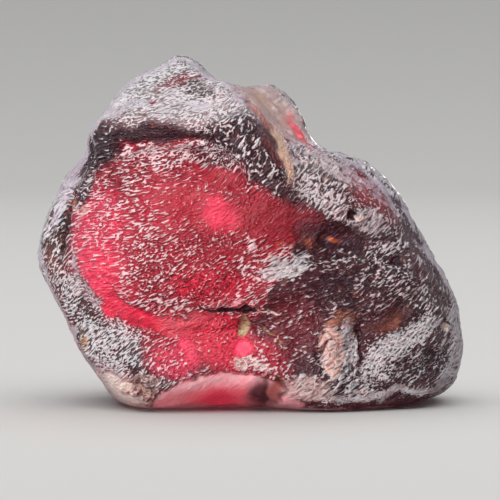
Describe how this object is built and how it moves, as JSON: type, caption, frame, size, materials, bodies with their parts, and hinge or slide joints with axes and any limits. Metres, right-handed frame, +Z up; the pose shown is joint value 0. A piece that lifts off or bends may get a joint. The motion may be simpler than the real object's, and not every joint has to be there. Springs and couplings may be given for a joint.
{
  "type": "rough pyrope garnet",
  "caption": "Rough pyrope garnet: a chunky, broken and etched piece of see-through red gem crystal that stands on a flat underside, to show or to cut.",
  "frame": {"origin": "middle of the stone's box, on the surface that the stone stands on", "axes": "+X across the stone towards its low end, +Y through it from the etched front to the back, +Z up"},
  "size_m": [0.0278, 0.0172, 0.0228],
  "materials": {
    "pyrope": "translucent crimson to plum crystal with glossy etched scales, frosted silver-pink crests and brown iron stain in the grooves"
  },
  "bodies": {
    "root": {"garnet": "pyrope"}
  },
  "joints": []
}
